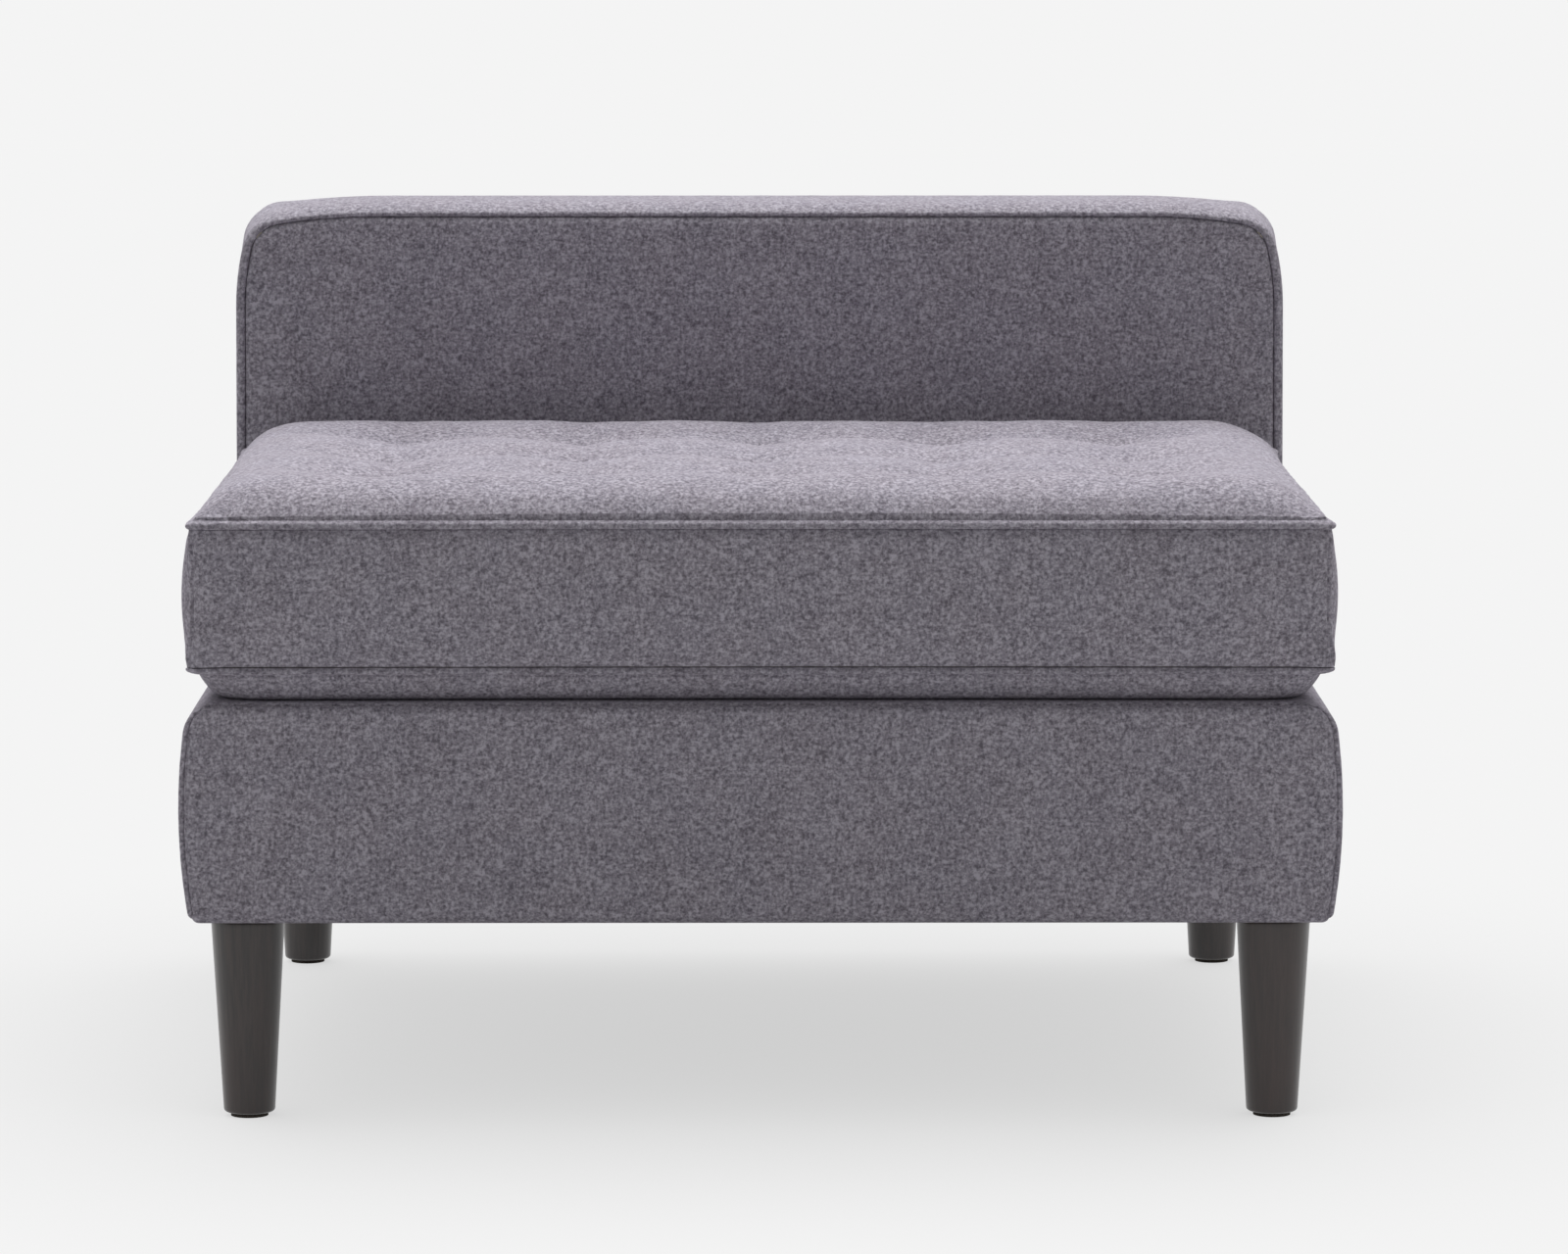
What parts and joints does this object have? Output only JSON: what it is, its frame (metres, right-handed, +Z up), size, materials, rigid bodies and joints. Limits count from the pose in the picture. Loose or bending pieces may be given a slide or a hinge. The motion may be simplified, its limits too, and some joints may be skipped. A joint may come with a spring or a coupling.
{
  "type": "upholstered sofa",
  "caption": "Compact armless sofa: boxed felt base on tapered turned legs, low boxed leaning back and a loose tufted seat cushion that lifts off.",
  "frame": {"origin": "on the floor, under the middle of the bounding box", "axes": "+Z up, +X to the right of someone who faces the sofa, +Y to the rear, so the front faces -Y"},
  "size_m": [0.86, 0.8101, 0.645],
  "materials": {
    "wool_felt": "felted wool, matt, fine grey and violet melange",
    "frame_timber": "planed softwood, unfinished",
    "plywood": "birch plywood and hardboard, unfinished",
    "foam": "cut upholstery foam",
    "wadding": "white polyester wadding",
    "elastic_webbing": "woven elastic band",
    "leg_wood": "dark stained wood, satin lacquer",
    "zinc_steel": "zinc plated",
    "glide_felt": "dense black glide",
    "black_cloth": "non-woven black cloth",
    "tie_tape": "woven tape and felt",
    "zip_tape": "woven tape, grey",
    "zip_coil": "nylon coil, grey",
    "zip_metal": "die-cast, grey"
  },
  "bodies": {
    "base": {"back_band": "wool_felt", "back_bolts": "zinc_steel", "back_bottom_board": "plywood", "back_edge_wadding": "wadding", "back_front_foam": "foam", "back_front_panel": "wool_felt", "back_left_gable": "frame_timber", "back_lower_rail": "frame_timber", "back_middle_stile": "frame_timber", "back_rear_felt": "wadding", "back_rear_panel": "wool_felt", "back_rear_rail": "frame_timber", "back_right_gable": "frame_timber", "back_stiff_board": "plywood", "back_support_board": "plywood", "back_upper_rail": "frame_timber", "back_webbing": "elastic_webbing", "base_band": "wool_felt", "base_front_padding": "wadding", "base_front_panel": "wool_felt", "base_left_padding": "wadding", "base_rear_padding": "wadding", "base_rear_panel": "wool_felt", "base_right_padding": "wadding", "centre_brace": "frame_timber", "corner_block_front_left": "frame_timber", "corner_block_front_right": "frame_timber", "corner_block_rear_left": "frame_timber", "corner_block_rear_right": "frame_timber", "deck_pad": "foam", "dust_cover": "black_cloth", "front_rail": "frame_timber", "glides": "glide_felt", "hanger_bolts": "zinc_steel", "left_rail": "frame_timber", "legs": "leg_wood", "rear_rail": "frame_timber", "right_rail": "frame_timber", "webbing_front_to_rear": "elastic_webbing", "webbing_side_to_side": "elastic_webbing"},
    "seat_cushion": {"cushion_border": "wool_felt", "cushion_bottom_panel": "wool_felt", "cushion_core": "foam", "cushion_tufted_top": "wool_felt", "cushion_zipped_border": "wool_felt", "tuft_pads": "tie_tape", "tuft_ties": "tie_tape", "zip_coil": "zip_coil", "zip_tape": "zip_tape"},
    "zip_slider": {"zip_slider": "zip_metal"}
  },
  "joints": [
    {"name": "cushion_lift", "type": "slide", "parent": "base", "child": "seat_cushion", "axis": [0, 0, 1], "range_m": [0, 0.35]},
    {"name": "zip_pull", "type": "slide", "parent": "seat_cushion", "child": "zip_slider", "axis": [1, 0, 0], "range_m": [0, 0.549]}
  ]
}
